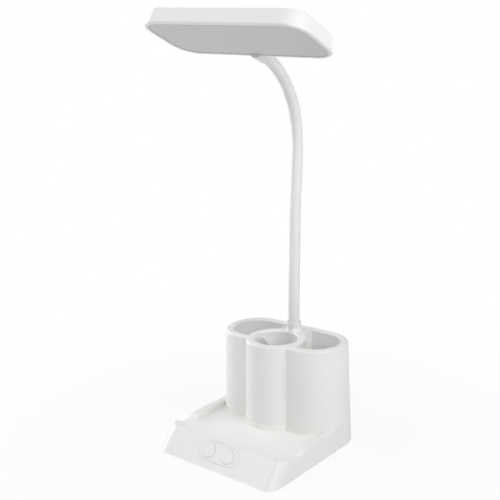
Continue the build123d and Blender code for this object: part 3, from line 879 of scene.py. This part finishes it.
@dataclass
class Studio:
    """Pale floor, soft lamps, even surroundings and the camera.

    Attributes:
        camera_place: The camera's place.
        yaw: Turn of its view from +Y towards +X, in degrees.
        pitch: Rise of its view, in degrees.
        roll: Turn about its view, in degrees.
        lens: Focal length in millimetres on a sensor 36 mm wide.
        shift: Shift of the frame across and up, as a share of its width.
        nearest: Nearest distance that the camera shows.
        floor_side: Side of the floor.
        floor_drop: How far the floor lies under the object.
        floor_colour: Colour of the floor.
        floor_roughness: Roughness of the floor.
        floor_glow: Share of plain white that the camera sees in the floor beside the object.
        shadow_reach: Distances from the origin between which the floor fades to plain white.
        surroundings: Strength of the even light from all round.
        lamps: The lamps.
    """

    camera_place: Point = (0.414337, -0.499939, 0.320038)
    yaw: float = -38.977
    pitch: float = -12.654
    roll: float = -1.169
    lens: float = 58.33
    shift: tuple[float, float] = (-0.0349, -0.0086)
    nearest: float = 0.01
    floor_side: float = 12.0
    floor_drop: float = 0.0002
    floor_colour: Colour = (0.88, 0.88, 0.88)
    floor_roughness: float = 0.9
    floor_glow: float = 0.90
    shadow_reach: tuple[float, float] = (0.10, 0.40)
    surroundings: float = 0.08
    lamps: tuple[SoftBox, ...] = (
        SoftBox("upper_left_box", (-0.9, -0.9, 1.3), (0, 0, 0.15), 1.0, 7.4),
        SoftBox("left_box", (-1.5, 0.0, 0.5), (0, 0, 0.15), 1.0, 14.0),
        SoftBox("camera_side_box", (0.9, -1.1, 0.9), (0, 0, 0.12), 0.9, 8.4),
        SoftBox("upper_right_box", (1.0, 0.0, 1.2), (0, 0, 0.15), 0.8, 5.4),
        SoftBox("head_side_box", (0.75, 0.05, 0.5), (0.05, 0, 0.34), 0.35, 1.5),
        SoftBox("rear_box", (0.0, 1.5, 0.6), (0, 0, 0.2), 1.0, 1.6),
    )

    def build(self) -> None:
        """Set up the whole studio."""
        bpy.context.scene.view_settings.view_transform = "Standard"
        self.lay_floor()
        self.surround()
        for lamp in self.lamps:
            lamp.build()
        self.place_camera()

    @staticmethod
    def seen_ray(sheet: Sheet) -> bpy.types.NodeSocket:
        """Mask of the rays that see a background: from the camera, a gloss or a clear body.

        Args:
            sheet: The tree to add to.

        Returns:
            The mask's socket.
        """
        rays = sheet.add("ShaderNodeLightPath").outputs
        glossy = sheet.math("MAXIMUM", rays["Is Camera Ray"], rays["Is Glossy Ray"])
        return sheet.math("MAXIMUM", glossy, rays["Is Transmission Ray"])

    def lay_floor(self) -> None:
        """Lay the pale floor, which keeps the object's shadow."""
        half, level = self.floor_side / 2, -self.floor_drop
        mesh = bpy.data.meshes.new("floor")
        corners = [(-half, -half, level), (half, -half, level), (half, half, level), (-half, half, level)]
        mesh.from_pydata(corners, [], [(0, 1, 2, 3)])
        floor = object_from("floor", mesh)
        paint = bpy.data.materials.new("pale_floor")
        paint.use_nodes = True
        sheet = Sheet(paint.node_tree)
        matt = paint.node_tree.nodes["Principled BSDF"]
        matt.inputs["Base Color"].default_value = opaque(self.floor_colour)
        matt.inputs["Roughness"].default_value = self.floor_roughness
        matt.inputs["Specular IOR Level"].default_value = 0.0
        glow = sheet.add("ShaderNodeEmission")
        blended = sheet.add("ShaderNodeMixShader")
        away = sheet.add("ShaderNodeVectorMath", operation="LENGTH")
        sheet.feed(away.inputs[0], sheet.add("ShaderNodeTexCoord").outputs["Object"])
        fade = sheet.add("ShaderNodeMapRange", interpolation_type="SMOOTHSTEP")
        sheet.feed(fade.inputs["Value"], away.outputs["Value"])
        for name, value in (
            ("From Min", self.shadow_reach[0]), ("From Max", self.shadow_reach[1]),
            ("To Min", self.floor_glow), ("To Max", 1.0),
        ):
            sheet.feed(fade.inputs[name], value)
        share = sheet.math("MULTIPLY", self.seen_ray(sheet), fade.outputs["Result"])
        sheet.feed(blended.inputs[0], share)
        sheet.feed(blended.inputs[1], matt.outputs[0])
        sheet.feed(blended.inputs[2], glow.outputs[0])
        sheet.feed(paint.node_tree.nodes["Material Output"].inputs["Surface"], blended.outputs[0])
        mesh.materials.append(paint)

    def surround(self) -> None:
        """Light the object evenly from all round, and show the camera plain white."""
        world = bpy.data.worlds.new("plain_studio")
        world.use_nodes = True
        sheet = Sheet(world.node_tree)
        light = world.node_tree.nodes["Background"]
        light.inputs["Color"].default_value = opaque((1.0, 1.0, 1.0))
        seen = self.seen_ray(sheet)
        strength = sheet.math("MULTIPLY_ADD", seen, 1.0 - self.surroundings, self.surroundings)
        sheet.feed(light.inputs["Strength"], strength)
        bpy.context.scene.world = world

    def place_camera(self) -> None:
        """Put the camera at the photograph's view."""
        yaw, pitch, roll = (math.radians(angle) for angle in (self.yaw, self.pitch, self.roll))
        forward = Vector((math.sin(yaw) * math.cos(pitch), math.cos(yaw) * math.cos(pitch), math.sin(pitch)))
        level = forward.cross(Vector((0, 0, 1))).normalized()
        upright = level.cross(forward)
        right = level * math.cos(roll) + upright * math.sin(roll)
        up = upright * math.cos(roll) - level * math.sin(roll)
        data = bpy.data.cameras.new("camera")
        data.lens = self.lens
        data.shift_x, data.shift_y = self.shift
        data.clip_start = self.nearest
        camera = bpy.data.objects.new("camera", data)
        turn = Matrix((right, up, -forward)).transposed()
        camera.matrix_world = Matrix.Translation(self.camera_place) @ turn.to_4x4()
        bpy.context.scene.collection.objects.link(camera)
        bpy.context.scene.camera = camera


def main() -> None:
    """Dress the base, the neck and the head, and set up the studio."""
    logging.basicConfig(level=logging.INFO, format="%(name)s: %(message)s")
    shop = Workshop()
    neck = Neck(shop)
    lengths = tuple(joint["child"] for joint in neck.joints[:-1])
    for assembly in (Base(shop), NeckCore(shop, lengths), Head(shop), neck, Studio()):
        assembly.build()


if __name__ == "__main__":
    main()
